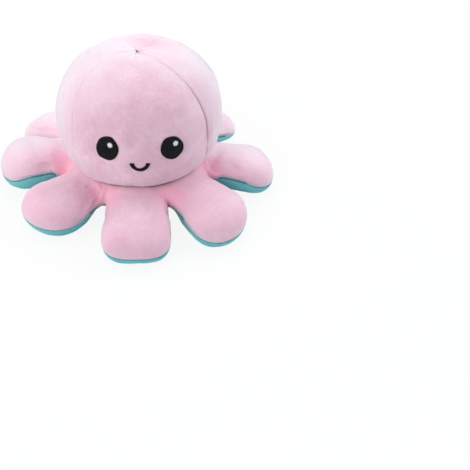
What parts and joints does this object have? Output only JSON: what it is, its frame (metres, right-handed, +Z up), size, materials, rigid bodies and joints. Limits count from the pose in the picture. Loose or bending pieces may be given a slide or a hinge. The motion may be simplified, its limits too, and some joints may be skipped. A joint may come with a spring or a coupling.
{
  "type": "plush octopus",
  "caption": "Reversible plush octopus: padded dome head over a hollow pocket, with a ring of short round arms, smiling side out and a frowning face inside the pocket.",
  "frame": {"origin": "on the floor, under the middle of the toy", "axes": "+Z up; the smiling face looks along -Y; +X is the face's right as it is seen"},
  "size_m": [0.1999, 0.1999, 0.1081],
  "materials": {
    "pink_plush": "short soft pile, pale pink",
    "teal_plush": "short soft pile, teal",
    "fibre_filling": "loose white polyester fibre",
    "black_thread": "satin-stitched black thread",
    "white_thread": "satin-stitched white thread"
  },
  "bodies": {
    "body": {"head_front_panel": "pink_plush", "head_right_panel": "pink_plush", "head_back_panel": "pink_plush", "head_left_panel": "pink_plush", "head_filling": "fibre_filling", "lining_front_panel": "teal_plush", "lining_right_panel": "teal_plush", "lining_back_panel": "teal_plush", "lining_left_panel": "teal_plush", "collar_top": "pink_plush", "collar_underside": "teal_plush", "collar_filling": "fibre_filling", "left_eye": "black_thread", "right_eye": "black_thread", "left_eye_glint": "white_thread", "right_eye_glint": "white_thread", "smile": "black_thread", "lining_left_eye": "black_thread", "lining_right_eye": "black_thread", "lining_left_glint": "white_thread", "lining_right_glint": "white_thread", "frown": "black_thread"},
    "front_arm": {"front_arm_top": "pink_plush", "front_arm_underside": "teal_plush", "front_arm_filling": "fibre_filling"},
    "front_right_arm": {"front_right_arm_top": "pink_plush", "front_right_arm_underside": "teal_plush", "front_right_arm_filling": "fibre_filling"},
    "right_arm": {"right_arm_top": "pink_plush", "right_arm_underside": "teal_plush", "right_arm_filling": "fibre_filling"},
    "back_right_arm": {"back_right_arm_top": "pink_plush", "back_right_arm_underside": "teal_plush", "back_right_arm_filling": "fibre_filling"},
    "back_arm": {"back_arm_top": "pink_plush", "back_arm_underside": "teal_plush", "back_arm_filling": "fibre_filling"},
    "back_left_arm": {"back_left_arm_top": "pink_plush", "back_left_arm_underside": "teal_plush", "back_left_arm_filling": "fibre_filling"},
    "left_arm": {"left_arm_top": "pink_plush", "left_arm_underside": "teal_plush", "left_arm_filling": "fibre_filling"},
    "front_left_arm": {"front_left_arm_top": "pink_plush", "front_left_arm_underside": "teal_plush", "front_left_arm_filling": "fibre_filling"}
  },
  "joints": [
    {"name": "front_arm_bend", "type": "hinge", "parent": "body", "child": "front_arm", "pos_m": [0, -0.058, 0.0135], "axis": [-1, 0, 0], "range_deg": [-40, 40], "stiffness_Nm_per_rad": 0.08},
    {"name": "front_right_arm_bend", "type": "hinge", "parent": "body", "child": "front_right_arm", "pos_m": [0.03993, -0.04207, 0.0135], "axis": [-0.7254, -0.6884, 0], "range_deg": [-40, 40], "stiffness_Nm_per_rad": 0.08},
    {"name": "right_arm_bend", "type": "hinge", "parent": "body", "child": "right_arm", "pos_m": [0.05792, -0.00303, 0.0135], "axis": [-0.0523, -0.9986, 0], "range_deg": [-40, 40], "stiffness_Nm_per_rad": 0.08},
    {"name": "back_right_arm_bend", "type": "hinge", "parent": "body", "child": "back_right_arm", "pos_m": [0.0431, 0.03881, 0.0135], "axis": [0.6691, -0.7431, 0], "range_deg": [-40, 40], "stiffness_Nm_per_rad": 0.08},
    {"name": "back_arm_bend", "type": "hinge", "parent": "body", "child": "back_arm", "pos_m": [-0.00202, 0.05797, 0.0135], "axis": [0.9994, 0.0349, 0], "range_deg": [-40, 40], "stiffness_Nm_per_rad": 0.08},
    {"name": "back_left_arm_bend", "type": "hinge", "parent": "body", "child": "back_left_arm", "pos_m": [-0.04475, 0.03689, 0.0135], "axis": [0.6361, 0.7716, 0], "range_deg": [-40, 40], "stiffness_Nm_per_rad": 0.08},
    {"name": "left_arm_bend", "type": "hinge", "parent": "body", "child": "left_arm", "pos_m": [-0.05799, -0.00101, 0.0135], "axis": [-0.0175, 0.9998, 0], "range_deg": [-40, 40], "stiffness_Nm_per_rad": 0.08},
    {"name": "front_left_arm_bend", "type": "hinge", "parent": "body", "child": "front_left_arm", "pos_m": [-0.04276, -0.03918, 0.0135], "axis": [-0.6756, 0.7373, 0], "range_deg": [-40, 40], "stiffness_Nm_per_rad": 0.08}
  ]
}
